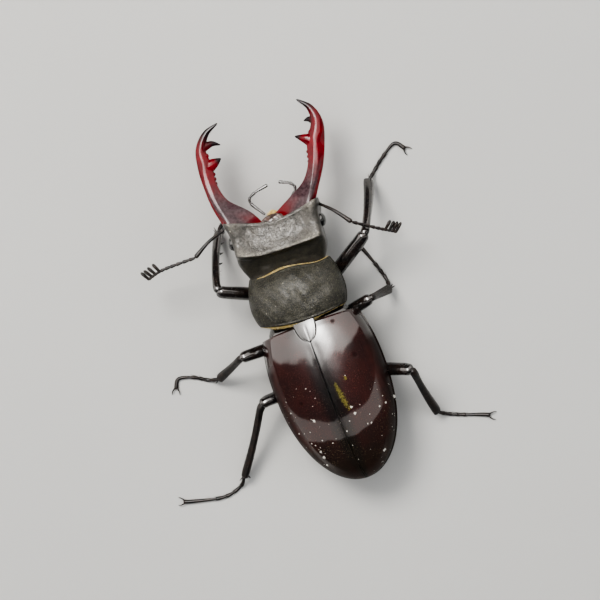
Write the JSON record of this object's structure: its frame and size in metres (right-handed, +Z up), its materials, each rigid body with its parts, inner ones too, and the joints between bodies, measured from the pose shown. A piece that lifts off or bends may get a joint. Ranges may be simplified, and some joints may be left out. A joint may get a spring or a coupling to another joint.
{
  "type": "stag beetle model",
  "caption": "Life-size still model of a male European stag beetle standing with its antler-like jaws half open, legs spread and wing cases closed.",
  "frame": {"origin": "on the floor, under the middle of the beetle's bounding box", "axes": "+Y forwards to the head, +X to the beetle's right, +Z up"},
  "size_m": [0.059, 0.0644, 0.0133],
  "materials": {
    "shell": "glossy blackish-chestnut wing-case shell, like varnished horn",
    "armour": "satin dark grey to black shell, finely pitted",
    "jaw": "glossy deep red-brown horn with blackish teeth",
    "limb": "glossy black shell of legs, feelers and underside",
    "eye": "glossy black, finely faceted",
    "brush": "golden-brown hair of the mouth brush and of the fringes at the collar"
  },
  "bodies": {
    "root": {"scutellum": "armour", "elytron_left": "shell", "elytron_right": "shell", "pronotum": "armour", "prosternum": "limb", "hind_thorax": "limb", "abdomen": "limb", "head": "armour", "eye_left": "eye", "eye_right": "eye", "labrum": "armour", "mouthparts": "brush", "mandible_left": "jaw", "mandible_right": "jaw", "antenna_scape_left": "limb", "antenna_flagellum_left": "limb", "maxillary_palp_left": "limb", "antenna_scape_right": "limb", "antenna_flagellum_right": "limb", "maxillary_palp_right": "limb", "coxa_fore_left": "limb", "femur_fore_left": "limb", "tibia_fore_left": "limb", "tarsus_fore_left": "limb", "coxa_fore_right": "limb", "femur_fore_right": "limb", "tibia_fore_right": "limb", "tarsus_fore_right": "limb", "coxa_mid_left": "limb", "femur_mid_left": "limb", "tibia_mid_left": "limb", "tarsus_mid_left": "limb", "coxa_mid_right": "limb", "femur_mid_right": "limb", "tibia_mid_right": "limb", "tarsus_mid_right": "limb", "coxa_hind_left": "limb", "femur_hind_left": "limb", "tibia_hind_left": "limb", "tarsus_hind_left": "limb", "coxa_hind_right": "limb", "femur_hind_right": "limb", "tibia_hind_right": "limb", "tarsus_hind_right": "limb"}
  },
  "joints": []
}
